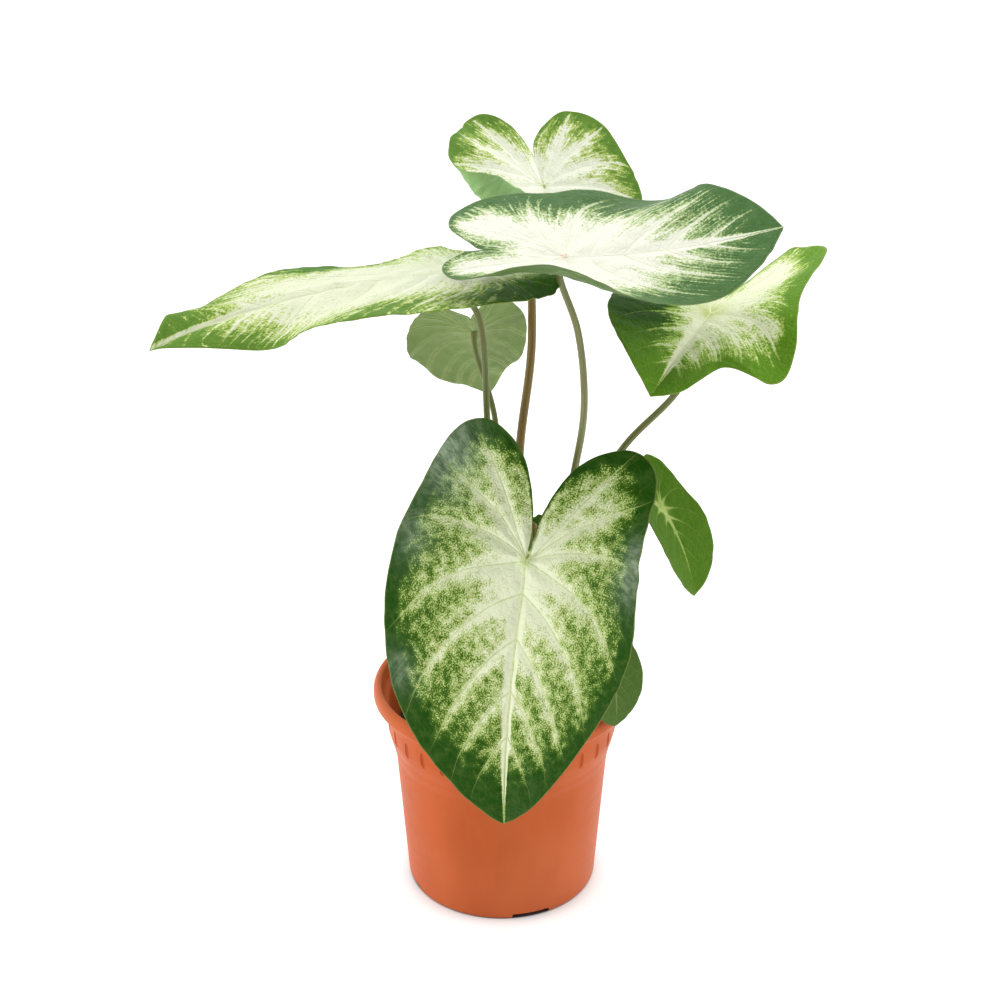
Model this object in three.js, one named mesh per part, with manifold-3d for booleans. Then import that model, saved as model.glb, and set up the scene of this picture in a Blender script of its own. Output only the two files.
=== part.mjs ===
// A caladium with nine leaves in a terracotta-coloured nursery pot.
// Millimetres, +Z up, origin in the middle of the underside of the pot, -Y is the front.
import * as THREE from 'three';
import { mergeVertices } from 'three/addons/utils/BufferGeometryUtils.js';
import Module from 'manifold-3d';

const wasm = await Module();
wasm.setup();

// Clearance between pieces that touch on the real plant
const SEAT_GAP = 0.3;

// Pot
const POT_HEIGHT = 104;
const RIM_RADIUS = 60;
const BASE_RADIUS = 45;
const POT_SIDES = 48;
const HOLE_SIDES = 12;
const CUT_OVERRUN = 3;
const FLOOR_TOP = 4.5;
const FLOOR_RECESS = 3;
const CENTRE_DISC_RADIUS = 14;
const FOOT_RING_INNER = 36;
const NOTCH = { count: 4, firstAngle: -72, width: 19, height: 2.7 };
const DRAIN_HOLE = { count: 8, radius: 3.5, circle: 25 };
const RECESS = { count: 30, width: 1.6, height: 8, depth: 0.8, radius: 51, middle: 66.5 };

// Soil and tuber
const SOIL_TOP = 86;
const STALK_HOLE_CLEARANCE = 0.8;
const TUBER_SIDES = 32;
const TUBER_TOP = 66;
const TUBER_CROWN_RADIUS = 19;
const TUBER_RADIUS = 24;
const TUBER_HEIGHT = 26;

// Leaves
const BLADE_THICKNESS = 0.8;
const NECK_LENGTH = 8;
const STALK_SIDES = 8;
const STALK_STEPS = 14;
const STRAIGHT_BELOW_SOIL_TOP = 10;
const STRAIGHT_ABOVE_SOIL_TOP = 1;

const TERRACOTTA = { color: 0xb8562f, roughness: 0.55, metalness: 0 };
const SOIL_BROWN = { color: 0x2e1f16, roughness: 0.95, metalness: 0 };
const TUBER_BROWN = { color: 0x6b4a30, roughness: 0.85, metalness: 0 };
const LEAF_GREEN = { color: 0x5f8f4a, roughness: 0.45, metalness: 0 };
const STALK_OLIVE = { color: 0x7d8a55, roughness: 0.5, metalness: 0 };
const STALK_BROWN = { color: 0x7a5a3c, roughness: 0.5, metalness: 0 };

// Half of a flat leaf, in leaf lengths from the stalk junction: x towards the tip, y outwards.
// It runs from the sinus round the basal lobe to the tip.
const HALF_OUTLINE = [
  [-0.42, 0.085], [-0.5, 0.2], [-0.455, 0.32], [-0.33, 0.405], [-0.14, 0.465], [0.09, 0.515], [0.3, 0.52],
  [0.53, 0.465], [0.73, 0.35], [0.89, 0.19], [0.965, 0.07], [1, 0],
];
const SINUS_MOUTH = 0.42;
const SINUS_HALF_WIDTH = 0.02;

const LEFT = 1;
const RIGHT = -1;

// Each leaf: junction is where the blade meets its stalk. heading is the compass angle of the tip
// from +X, pitch lifts the tip, roll lifts the left half. length is junction to tip. fold and curl
// raise each half, tipBend and lobeBend turn the two ends down, twist turns the tip about the midrib
// and sweep bows the midrib sideways. sinus is how far the notch ends behind the junction. A ripple
// [side, place, spread, lift, reach] raises and stretches the margin near one place between sinus 0
// and tip 1. A roll [side, place, spread, start, turn] curls the margin over. root is where the stalk
// enters the soil, via the points it passes.
const LEAF_DEFAULTS = {
  roll: 0, leftWidth: 1, rightWidth: 1, lobes: 1, tip: 1, foldLeft: 6, foldRight: 6, curlLeft: 0,
  curlRight: 0, tipBend: 20, lobeBend: 8, twist: 0, sweep: 0, sinus: 0.05, ripples: [], rolls: [],
  spokes: 40, rings: 5, stalk: STALK_OLIVE,
};
const LEAVES = [
  {
    name: 'front', junction: [10, -57, 194], heading: -128, pitch: -67, roll: 5, length: 125,
    leftWidth: 1.04, rightWidth: 1.04, lobes: 0.8, foldLeft: 3, foldRight: 12, curlLeft: 4, curlRight: -4,
    tipBend: 29, lobeBend: 6, twist: -2, sweep: 0.1,
    ripples: [[LEFT, 0.28, 0.12, -0.11, 0.15], [RIGHT, 0.24, 0.12, 0.04, 0.09],
      [LEFT, 0.73, 0.15, -0.02, -0.18]],
    root: [-5, -12], via: [[-2, -26, 150], [4, -38, 188], [13, -49, 207]], stalkRadius: 2,
    stalk: STALK_BROWN,
  },
  {
    name: 'crown', junction: [25, -46, 325], heading: 7, pitch: -13, roll: 19, length: 90,
    leftWidth: 1.14, rightWidth: 0.95, lobes: 1.14, foldLeft: 3, foldRight: 1, curlLeft: -15,
    curlRight: 26, tipBend: -45, lobeBend: -40, twist: 8, sweep: 0.34, sinus: 0.27,
    ripples: [[LEFT, 0.67, 0.07, -0.13, 0.05], [LEFT, 0.77, 0.07, 0.04, -0.03],
      [LEFT, 0.2, 0.1, -0.01, -0.12], [RIGHT, 0.2, 0.1, 0.04, -0.06], [RIGHT, 0.48, 0.1, 0.13, -0.13],
      [RIGHT, 0.72, 0.09, -0.05, 0.04]],
    root: [5, -4], via: [[22, -18, 165], [31, -28, 222], [34.5, -35, 255], [31, -42, 292]],
    stalkRadius: 1.9, spokes: 48,
  },
  {
    name: 'top', junction: [18.5, 57.5, 325], heading: -66, pitch: -48, roll: -16, length: 102,
    leftWidth: 0.9, rightWidth: 1.12, lobes: 0.64, tip: 0.5, foldLeft: 21, foldRight: 7, curlLeft: -9,
    curlRight: -12, tipBend: -93, lobeBend: -17, twist: -26, sweep: -0.11, sinus: 0.22,
    ripples: [[RIGHT, 0.35, 0.07, 0.02, -0.08], [LEFT, 0.53, 0.1, 0.02, -0.06],
      [RIGHT, 0.2, 0.08, 0.05, 0.05], [RIGHT, 0.4, 0.06, 0.05, 0.04]],
    rolls: [[RIGHT, 0.67, 0.17, 0.63, 157]], spokes: 48, rings: 8,
    root: [4, 6], via: [[6, 20, 150], [8.5, 34, 209], [13.5, 42, 252]], stalkRadius: 2, stalk: STALK_BROWN,
  },
  {
    name: 'left', junction: [-17, -6, 306], heading: 202, pitch: 4, roll: 12, length: 138,
    lobes: 0.41, foldLeft: 1, foldRight: -2, curlLeft: -12, curlRight: 13, tipBend: 21, lobeBend: 28,
    twist: 4,
    ripples: [[RIGHT, 0.91, 0.07, 0.06, -0.06], [LEFT, 0.82, 0.07, -0.09, -0.17],
      [RIGHT, 0.56, 0.08, -0.05, -0.04]],
    root: [-8, -4], via: [[-6, -6, 160], [-6.5, -7.5, 240], [-10, -8, 286]], stalkRadius: 1.5,
  },
  {
    name: 'right', junction: [90, 4, 283], heading: -112, pitch: 1, roll: -2, length: 82,
    leftWidth: 0.96, rightWidth: 0.93, lobes: 1.64, foldLeft: 19, foldRight: 23, curlLeft: -5,
    curlRight: -28, tipBend: 13, lobeBend: -4, twist: -22, sweep: 0.03, sinus: 0.24,
    ripples: [[LEFT, 0.78, 0.07, -0.04, -0.23], [LEFT, 0.65, 0.07, -0.16, 0.15],
      [LEFT, 0.35, 0.08, -0.07, 0.3], [LEFT, 0.2, 0.07, 0.01, 0.2]],
    spokes: 60, root: [12, 4], via: [[34, 4, 180], [54, 4, 220], [77, 4, 247]], stalkRadius: 1.6,
  },
  {
    name: 'back', junction: [-12.5, 42, 261], heading: 82, pitch: -42, roll: -8, length: 60,
    leftWidth: 1.04, rightWidth: 0.8, lobes: 0.76, foldLeft: 20, foldRight: 20, curlLeft: -33,
    curlRight: -5, tipBend: 16, lobeBend: 12, twist: 7, sweep: 0.11, sinus: 0.3,
    ripples: [[LEFT, 0.78, 0.06, -0.05, 0.05], [LEFT, 0.9, 0.06, -0.02, -0.01],
      [RIGHT, 0.85, 0.08, 0.13, 0], [LEFT, 0.6, 0.08, -0.06, -0.02]],
    spokes: 36, rings: 4, root: [-6, 7], via: [[-3, 22, 165], [-3, 33, 221]], stalkRadius: 1.4,
  },
  {
    name: 'small_right', junction: [71, -8, 196], heading: -49, pitch: -41, roll: -14, length: 42,
    lobes: 1.24, foldLeft: 7, foldRight: 10, curlLeft: 4, curlRight: 5, tipBend: 27, lobeBend: 5,
    sweep: 0.1, spokes: 32, rings: 4,
    root: [10, -10], via: [[32, -9, 140], [56, -6, 178]], stalkRadius: 1.2,
  },
  {
    name: 'small_low', junction: [49, -34, 131], heading: -60, pitch: -63, roll: -5, length: 30,
    foldLeft: 1, foldRight: 3, tipBend: 33, lobeBend: 9, spokes: 32, rings: 4,
    root: [15, -4], via: [[27, -13, 118], [38, -22, 129]], stalkRadius: 1.2,
  },
  {
    name: 'small_centre', junction: [21, -34, 193], heading: -90, pitch: -58, length: 22,
    foldLeft: 4, foldRight: 4, tipBend: 10, lobeBend: 10, spokes: 32, rings: 4,
    root: [3, -13], via: [[9, -18, 130], [19, -25, 172]], stalkRadius: 1.1,
  },
].map((leaf) => ({ ...LEAF_DEFAULTS, ...leaf }));

for (const leaf of LEAVES) {
  const notch = [[-leaf.sinus, 0], [-(leaf.sinus + SINUS_MOUTH) / 2, SINUS_HALF_WIDTH]];
  leaf.outline = new THREE.SplineCurve([...notch, ...HALF_OUTLINE].map(([x, y]) => new THREE.Vector2(x, y)));
}

const group = new THREE.Group();

function addMesh(name, geometry, look) {
  const mesh = new THREE.Mesh(geometry, new THREE.MeshStandardMaterial(look));
  mesh.name = name;
  group.add(mesh);
  return mesh;
}

// Solids to and from the library that joins and cuts them
function toSolid(geometry) {
  const bare = geometry.clone();
  bare.deleteAttribute('normal');
  bare.deleteAttribute('uv');
  const merged = mergeVertices(bare, 1e-4);
  return new wasm.Manifold(new wasm.Mesh({
    numProp: 3,
    vertProperties: new Float32Array(merged.attributes.position.array),
    triVerts: new Uint32Array(merged.index.array),
  }));
}

function toGeometry(solid) {
  const mesh = solid.getMesh();
  const geometry = new THREE.BufferGeometry();
  geometry.setAttribute('position', new THREE.BufferAttribute(mesh.vertProperties, 3));
  geometry.setIndex(new THREE.BufferAttribute(mesh.triVerts, 1));
  return geometry;
}

// A turned piece: profile is a list of [radius, height], the lathe's Y axis becomes Z
function turned(profile, sides) {
  const points = profile.map(([radius, height]) => new THREE.Vector2(radius, height));
  return new THREE.LatheGeometry(points, sides).rotateX(Math.PI / 2);
}

// An upright round hole, as the solid that cuts it
function upright(radius, height, x, y, middle) {
  const round = new THREE.CylinderGeometry(radius, radius, height, HOLE_SIDES);
  return round.rotateX(Math.PI / 2).translate(x, y, middle);
}

// Pot: foot ring and centre disc at the bottom, tapered wall, collar and rolled lip
function potGeometry() {
  const outside = [
    [0, 0], [CENTRE_DISC_RADIUS, 0], [CENTRE_DISC_RADIUS, FLOOR_RECESS], [FOOT_RING_INNER, FLOOR_RECESS],
    [FOOT_RING_INNER, 0], [BASE_RADIUS - 1.1, 0], [BASE_RADIUS, 1.2],
    [50.7, 67.5], [51.6, 70], [52.2, 72], [53.6, 74.5], [54, 83], [55.2, 84.8], [58.2, 88.3], [59.5, 91.5],
    [RIM_RADIUS, 95.5], [RIM_RADIUS, 100.5], [59.4, 102.8], [58.2, POT_HEIGHT],
  ];
  const inside = [
    [57.2, POT_HEIGHT], [56.3, 103.2], [56, 101.5], [54.9, 88.5], [52.6, 83.5], [52.2, 75.5], [50.3, 72.3],
    [49.3, 68], [43.6, 5.2], [42.9, FLOOR_TOP], [0, FLOOR_TOP],
  ];
  let pot = toSolid(turned([...outside, ...inside], POT_SIDES));

  for (let i = 0; i < NOTCH.count; i += 1) {
    const angle = THREE.MathUtils.degToRad(NOTCH.firstAngle + (360 / NOTCH.count) * i);
    const depth = BASE_RADIUS - FOOT_RING_INNER + 2 * CUT_OVERRUN;
    const notch = new THREE.BoxGeometry(depth, NOTCH.width, 2 * NOTCH.height);
    notch.translate((BASE_RADIUS + FOOT_RING_INNER) / 2, 0, 0).rotateZ(angle);
    pot = pot.subtract(toSolid(notch));
  }
  for (let i = 0; i < DRAIN_HOLE.count; i += 1) {
    const angle = (2 * Math.PI * i) / DRAIN_HOLE.count;
    const x = DRAIN_HOLE.circle * Math.cos(angle);
    const y = DRAIN_HOLE.circle * Math.sin(angle);
    const height = FLOOR_TOP + 2 * CUT_OVERRUN;
    pot = pot.subtract(toSolid(upright(DRAIN_HOLE.radius, height, x, y, FLOOR_TOP / 2)));
  }
  for (let i = 0; i < RECESS.count; i += 1) {
    const angle = (2 * Math.PI * (i + 0.5)) / RECESS.count - Math.PI / 2;
    const recess = new THREE.BoxGeometry(2 * RECESS.depth, RECESS.width, RECESS.height);
    recess.translate(RECESS.radius, 0, RECESS.middle).rotateZ(angle);
    pot = pot.subtract(toSolid(recess));
  }
  return toGeometry(pot);
}

function tuberProfile(grow) {
  const waist = TUBER_TOP - 0.4 * TUBER_HEIGHT;
  return [
    [0, TUBER_TOP - TUBER_HEIGHT - grow], [12 + grow, TUBER_TOP - 0.94 * TUBER_HEIGHT - grow],
    [20 + grow, TUBER_TOP - 0.75 * TUBER_HEIGHT - grow], [TUBER_RADIUS + grow, waist],
    [23 + grow, TUBER_TOP - 0.15 * TUBER_HEIGHT + grow], [TUBER_CROWN_RADIUS + grow, TUBER_TOP + grow],
    [0, TUBER_TOP + grow],
  ];
}

// Soil: fills the pot to below the rim, hollow for the tuber, with a plain hole for each stalk
function soilGeometry() {
  const profile = [
    [0, FLOOR_TOP + SEAT_GAP], [42.6, FLOOR_TOP + SEAT_GAP], [43.2, 5.6], [48.9, 68.2], [49.9, 72.6],
    [51.8, 75.8], [52, SOIL_TOP - 4], [51, SOIL_TOP - 3], [38, SOIL_TOP - 1.6], [18, SOIL_TOP - 0.6],
    [0, SOIL_TOP],
  ];
  let soil = toSolid(turned(profile, POT_SIDES));
  soil = soil.subtract(toSolid(turned(tuberProfile(SEAT_GAP), TUBER_SIDES)));
  for (const { root: [x, y], stalkRadius } of LEAVES) {
    const depth = SOIL_TOP - TUBER_TOP + 2 * CUT_OVERRUN;
    const middle = (SOIL_TOP + TUBER_TOP) / 2;
    const radius = stalkRadius + STALK_HOLE_CLEARANCE;
    soil = soil.subtract(toSolid(upright(radius, depth, x, y, middle)));
  }
  return toGeometry(soil);
}

// Bell-shaped weight of a place along the margin
function nearness(t, place, spread) {
  return Math.exp(-(((t - place) / spread) ** 2));
}

// A point of the blade's middle surface in the leaf's own frame: +X tip, +Y left, +Z up.
// t runs along one half of the margin from sinus to tip, s from the junction to the margin.
function bladePoint(leaf, side, t, s) {
  const edge = leaf.outline.getPoint(t);
  let x = s * edge.x * (edge.x < 0 ? leaf.lobes : leaf.tip);
  let y = s * edge.y * (side === LEFT ? leaf.leftWidth : leaf.rightWidth);
  let lift = 0;
  for (const [onSide, place, spread, rise, reach] of leaf.ripples) {
    if (onSide === side) {
      const weight = nearness(t, place, spread) * s * s;
      lift += rise * weight;
      x *= 1 + reach * weight;
      y *= 1 + reach * weight;
    }
  }
  for (const [onSide, place, spread, start, turn] of leaf.rolls) {
    if (onSide === side && s > start) {
      const rate = (THREE.MathUtils.degToRad(turn) * nearness(t, place, spread)) / (1 - start) + 1e-9;
      const angle = rate * (s - start);
      lift += ((Math.hypot(x, y) / s) * (1 - Math.cos(angle))) / rate;
      const shrink = (start + Math.sin(angle) / rate) / s;
      x *= shrink;
      y *= shrink;
    }
  }

  // Across: each half rises at its fold angle and curls on
  const fold = THREE.MathUtils.degToRad(side === LEFT ? leaf.foldLeft : leaf.foldRight);
  const curl = THREE.MathUtils.degToRad(side === LEFT ? leaf.curlLeft : leaf.curlRight);
  const out = y * leaf.length;
  const slope = fold + curl * y;
  const half = curl * y;
  const chord = out * (Math.abs(half) < 1e-6 ? 1 : Math.sin(half) / half);
  let across = side * chord * Math.cos(slope);
  let up = chord * Math.sin(slope) + lift * leaf.length;
  const twist = THREE.MathUtils.degToRad(leaf.twist) * x;
  [across, up] = [
    across * Math.cos(twist) - up * Math.sin(twist),
    across * Math.sin(twist) + up * Math.cos(twist),
  ];

  // Along: the midrib bends down towards the tip and towards the lobes
  const bend = THREE.MathUtils.degToRad(x >= 0 ? leaf.tipBend : -leaf.lobeBend) * x;
  const along = x * leaf.length * (Math.abs(bend) < 1e-6 ? 1 : Math.sin(bend / 2) / (bend / 2));
  const inTip = THREE.MathUtils.clamp(x, 0, 1);
  return new THREE.Vector3(
    along * Math.cos(bend / 2) + up * Math.sin(bend),
    across + leaf.sweep * inTip * (1 - inTip) * leaf.length,
    -along * Math.sin(bend / 2) + up * Math.cos(bend),
  );
}

// The blade is a wheel of spokes and rings, the same triangles on both faces, closed by the margin
function bladeGeometry(leaf) {
  const points = [0, 0, 0];
  const halfSpokes = leaf.spokes / 2;
  for (let ring = 1; ring <= leaf.rings; ring += 1) {
    for (let spoke = 0; spoke < leaf.spokes; spoke += 1) {
      const side = spoke <= halfSpokes ? LEFT : RIGHT;
      const t = side === LEFT ? spoke / halfSpokes : 2 - spoke / halfSpokes;
      points.push(...bladePoint(leaf, side, t, ring / leaf.rings).toArray());
    }
  }
  const at = (ring, spoke) => 1 + (ring - 1) * leaf.spokes + (spoke % leaf.spokes);
  const upper = [];
  for (let spoke = 0; spoke < leaf.spokes; spoke += 1) {
    upper.push(0, at(1, spoke + 1), at(1, spoke));
    for (let ring = 1; ring < leaf.rings; ring += 1) {
      upper.push(at(ring, spoke), at(ring, spoke + 1), at(ring + 1, spoke + 1));
      upper.push(at(ring, spoke), at(ring + 1, spoke + 1), at(ring + 1, spoke));
    }
  }
  const middle = new THREE.BufferGeometry();
  middle.setAttribute('position', new THREE.Float32BufferAttribute(points, 3));
  middle.setIndex(upper);
  middle.computeVertexNormals();

  const count = points.length / 3;
  const faces = [];
  for (const shift of [0.5, -0.5]) {
    for (let i = 0; i < points.length; i += 1) {
      faces.push(points[i] + shift * BLADE_THICKNESS * middle.attributes.normal.array[i]);
    }
  }
  const triangles = [...upper];
  for (let i = 0; i < upper.length; i += 3) {
    triangles.push(count + upper[i], count + upper[i + 2], count + upper[i + 1]);
  }
  for (let spoke = 0; spoke < leaf.spokes; spoke += 1) {
    const here = at(leaf.rings, spoke);
    const next = at(leaf.rings, spoke + 1);
    triangles.push(here, next, count + next);
    triangles.push(here, count + next, count + here);
  }
  const blade = new THREE.BufferGeometry();
  blade.setAttribute('position', new THREE.Float32BufferAttribute(faces, 3));
  blade.setIndex(triangles);
  return blade;
}

// The stalk stands on the tuber, rises through its hole and meets the blade square from below
function stalkGeometry(leaf, turn) {
  const underside = new THREE.Vector3(0, 0, 1).applyEuler(turn);
  const junction = new THREE.Vector3(...leaf.junction);
  const end = junction.clone().addScaledVector(underside, -(BLADE_THICKNESS / 2 + SEAT_GAP));
  const neck = junction.clone().addScaledVector(underside, -NECK_LENGTH);
  const [x, y] = leaf.root;
  const path = new THREE.CatmullRomCurve3([
    new THREE.Vector3(x, y, TUBER_TOP + SEAT_GAP),
    new THREE.Vector3(x, y, SOIL_TOP - STRAIGHT_BELOW_SOIL_TOP),
    new THREE.Vector3(x, y, SOIL_TOP + STRAIGHT_ABOVE_SOIL_TOP),
    ...leaf.via.map((point) => new THREE.Vector3(...point)),
    neck,
    end,
  ], false, 'centripetal');
  const section = new THREE.Shape();
  section.absarc(0, 0, leaf.stalkRadius, 0, 2 * Math.PI);
  return new THREE.ExtrudeGeometry(section, {
    steps: STALK_STEPS,
    curveSegments: STALK_SIDES / 2,
    bevelEnabled: false,
    extrudePath: path,
  });
}

addMesh('pot', potGeometry(), TERRACOTTA);
addMesh('soil', soilGeometry(), SOIL_BROWN);
addMesh('tuber', turned(tuberProfile(0), TUBER_SIDES), TUBER_BROWN);

for (const leaf of LEAVES) {
  const turn = new THREE.Euler(
    THREE.MathUtils.degToRad(leaf.roll),
    THREE.MathUtils.degToRad(-leaf.pitch),
    THREE.MathUtils.degToRad(leaf.heading),
    'ZYX',
  );
  const blade = addMesh(`leaf_${leaf.name}`, bladeGeometry(leaf), LEAF_GREEN);
  blade.position.set(...leaf.junction);
  blade.rotation.copy(turn);
  addMesh(`stalk_${leaf.name}`, stalkGeometry(leaf, turn), leaf.stalk);
}

export default group;
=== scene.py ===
# A potted caladium: nine variegated leaves on their stalks in a terracotta-coloured nursery pot.
# Metres in Blender, +Z up, -Y is the front. Lengths below are millimetres until MM turns them.
import math
from itertools import combinations
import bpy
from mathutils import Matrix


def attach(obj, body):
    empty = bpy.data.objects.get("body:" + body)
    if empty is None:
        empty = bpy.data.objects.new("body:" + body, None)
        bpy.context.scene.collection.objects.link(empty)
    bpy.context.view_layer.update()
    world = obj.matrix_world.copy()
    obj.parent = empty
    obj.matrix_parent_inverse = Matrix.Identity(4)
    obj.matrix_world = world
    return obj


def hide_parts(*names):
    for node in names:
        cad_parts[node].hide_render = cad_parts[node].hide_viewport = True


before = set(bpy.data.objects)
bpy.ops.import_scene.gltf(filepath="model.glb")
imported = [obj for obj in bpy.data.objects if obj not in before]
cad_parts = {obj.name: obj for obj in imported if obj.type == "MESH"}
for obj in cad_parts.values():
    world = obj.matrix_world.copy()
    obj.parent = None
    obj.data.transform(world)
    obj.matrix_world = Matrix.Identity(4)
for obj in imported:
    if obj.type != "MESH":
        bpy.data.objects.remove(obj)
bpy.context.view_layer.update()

from types import SimpleNamespace

import bpy
import numpy as np
from mathutils import Euler, Vector, noise

MM = 0.001
LEFT, RIGHT = 1, -1
UP = np.array([0, 0, 1])

# Half of a flat leaf, in leaf lengths from the stalk junction: x towards the tip, y outwards.
# The first two points are the notch, which outline() sets for each leaf.
HALF_OUTLINE = np.array([
    (-0.05, 0), (-0.24, 0.02), (-0.42, 0.085), (-0.5, 0.2), (-0.455, 0.32), (-0.33, 0.405), (-0.14, 0.465),
    (0.09, 0.515), (0.3, 0.52), (0.53, 0.465), (0.73, 0.35), (0.89, 0.19), (0.965, 0.07), (1, 0),
])
SINUS_MOUTH = 0.42
SINUS_HALF_WIDTH = 0.02

# The lateral veins of one half, from the sinus round to the tip, in the same coordinates
VEINS = [np.array(route) for route in (
    [(0, 0), (-0.1, 0.055), (-0.25, 0.125), (-0.4, 0.2), (-0.49, 0.25)],
    [(0, 0), (-0.09, 0.07), (-0.18, 0.15), (-0.26, 0.26), (-0.32, 0.35), (-0.36, 0.4)],
    [(0, 0), (-0.05, 0.08), (-0.09, 0.2), (-0.105, 0.32), (-0.085, 0.43), (-0.04, 0.49)],
    [(0, 0), (0.03, 0.1), (0.07, 0.22), (0.14, 0.34), (0.26, 0.44), (0.34, 0.5)],
    [(0.11, 0), (0.17, 0.1), (0.27, 0.21), (0.41, 0.31), (0.55, 0.37), (0.66, 0.4)],
    [(0.27, 0), (0.36, 0.09), (0.48, 0.17), (0.6, 0.23), (0.74, 0.29)],
    [(0.46, 0), (0.55, 0.075), (0.66, 0.14), (0.76, 0.185), (0.86, 0.21)],
    [(0.63, 0), (0.71, 0.05), (0.8, 0.095), (0.9, 0.13)],
)]

# Each leaf as in the solid model. Angles in degrees, lengths in mm: turn is the compass angle of the
# tip from +X, how far the tip is lifted and how far the left half is lifted. width, fold and curl are
# for the left and the right half: fold and curl raise it. bend turns the tip and the lobes down, twist
# turns the tip, sweep bows the midrib, sinus is how far the notch ends behind the junction.
# A ripple is (side, place, spread, lift, reach), a roll is (side, place, spread, start, turn).
# shear skews the lateral veins, valley is their depth and crinkle that of the margin, in mm.
LEAF_DEFAULTS = dict(
    width=(1, 1), lobes=1, tip=1, fold=(6, 6), curl=(0, 0), bend=(20, 8), twist=0, sweep=0, sinus=0.05,
    ripples=(), rolls=(), spokes=280, rings=70, shear=0.06, valley=0.6, crinkle=0.15,
)
LEAVES = {
    "front": dict(
        junction=(10, -57, 194), turn=(-128, -67, 5), length=125, width=(1.04, 1.04), lobes=0.8,
        fold=(3, 12), curl=(4, -4), bend=(29, 6), twist=-2, sweep=0.1,
        ripples=((LEFT, 0.28, 0.12, -0.11, 0.15), (RIGHT, 0.24, 0.12, 0.04, 0.09),
                 (LEFT, 0.73, 0.15, -0.02, -0.18)),
        root=(-5, -12), via=((-2, -26, 150), (4, -38, 188), (13, -49, 207)), stalk_radius=2,
        shear=0.09, valley=1.3),
    "crown": dict(
        junction=(25, -46, 325), turn=(7, -13, 19), length=90, width=(1.14, 0.95), lobes=1.14,
        fold=(3, 1), curl=(-15, 26), bend=(-45, -40), twist=8, sweep=0.34, sinus=0.27,
        ripples=((LEFT, 0.67, 0.07, -0.13, 0.05), (LEFT, 0.77, 0.07, 0.04, -0.03),
                 (LEFT, 0.2, 0.1, -0.01, -0.12), (RIGHT, 0.2, 0.1, 0.04, -0.06),
                 (RIGHT, 0.48, 0.1, 0.13, -0.13), (RIGHT, 0.72, 0.09, -0.05, 0.04)),
        root=(5, -4), via=((22, -18, 165), (31, -28, 222), (34.5, -35, 255), (31, -42, 292)),
        stalk_radius=1.6),
    "top": dict(
        junction=(18.5, 57.5, 325), turn=(-66, -48, -16), length=102, width=(0.9, 1.12), lobes=0.64,
        tip=0.5, fold=(21, 7), curl=(-9, -12), bend=(-93, -17), twist=-26, sweep=-0.11, sinus=0.22,
        ripples=((RIGHT, 0.35, 0.07, 0.02, -0.08), (LEFT, 0.53, 0.1, 0.02, -0.06),
                 (RIGHT, 0.2, 0.08, 0.05, 0.05), (RIGHT, 0.4, 0.06, 0.05, 0.04)),
        rolls=((RIGHT, 0.67, 0.17, 0.63, 157),),
        root=(4, 6), via=((6, 20, 150), (8.5, 34, 209), (13.5, 42, 252)), stalk_radius=2,
        shear=-0.04, crinkle=0.35),
    "left": dict(
        junction=(-17, -6, 306), turn=(202, 4, 12), length=138, lobes=0.41,
        fold=(1, -2), curl=(-12, 13), bend=(21, 28), twist=4,
        ripples=((RIGHT, 0.91, 0.07, 0.06, -0.06), (LEFT, 0.82, 0.07, -0.09, -0.17),
                 (RIGHT, 0.56, 0.08, -0.05, -0.04)),
        root=(-8, -4), via=((-6, -6, 160), (-6.5, -7.5, 240), (-10, -8, 286)), stalk_radius=1.5,
        crinkle=0.5),
    "right": dict(
        junction=(90, 4, 283), turn=(-112, 1, -2), length=82, width=(0.96, 0.93), lobes=1.64,
        fold=(19, 23), curl=(-5, -28), bend=(13, -4), twist=-22, sweep=0.03, sinus=0.24,
        ripples=((LEFT, 0.78, 0.07, -0.04, -0.23), (LEFT, 0.65, 0.07, -0.16, 0.15),
                 (LEFT, 0.35, 0.08, -0.07, 0.3), (LEFT, 0.2, 0.07, 0.01, 0.2)),
        root=(12, 4), via=((34, 4, 180), (54, 4, 220), (77, 4, 247)), stalk_radius=1.6, shear=-0.08),
    "back": dict(
        junction=(-12.5, 42, 261), turn=(82, -42, -8), length=60, width=(1.04, 0.8), lobes=0.76,
        fold=(20, 20), curl=(-33, -5), bend=(16, 12), twist=7, sweep=0.11, sinus=0.3,
        ripples=((LEFT, 0.78, 0.06, -0.05, 0.05), (LEFT, 0.9, 0.06, -0.02, -0.01),
                 (RIGHT, 0.85, 0.08, 0.13, 0), (LEFT, 0.6, 0.08, -0.06, -0.02)),
        root=(-6, 7), via=((-3, 22, 165), (-3, 33, 221)), stalk_radius=1.4, spokes=200, rings=50),
    "small_right": dict(
        junction=(71, -8, 196), turn=(-49, -41, -14), length=42, lobes=1.24,
        fold=(7, 10), curl=(4, 5), bend=(27, 5), sweep=0.1,
        root=(10, -10), via=((32, -9, 140), (56, -6, 178)), stalk_radius=1.2, spokes=160, rings=44),
    "small_low": dict(
        junction=(49, -34, 131), turn=(-60, -63, -5), length=30, fold=(1, 3), bend=(33, 9),
        root=(15, -4), via=((27, -13, 118), (38, -22, 129)), stalk_radius=1.2, spokes=160, rings=40),
    "small_centre": dict(
        junction=(21, -34, 193), turn=(-90, -58, 0), length=22, fold=(4, 4), bend=(10, 10),
        root=(3, -13), via=((9, -18, 130), (19, -25, 172)), stalk_radius=1.1, spokes=160, rings=36),
}

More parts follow.
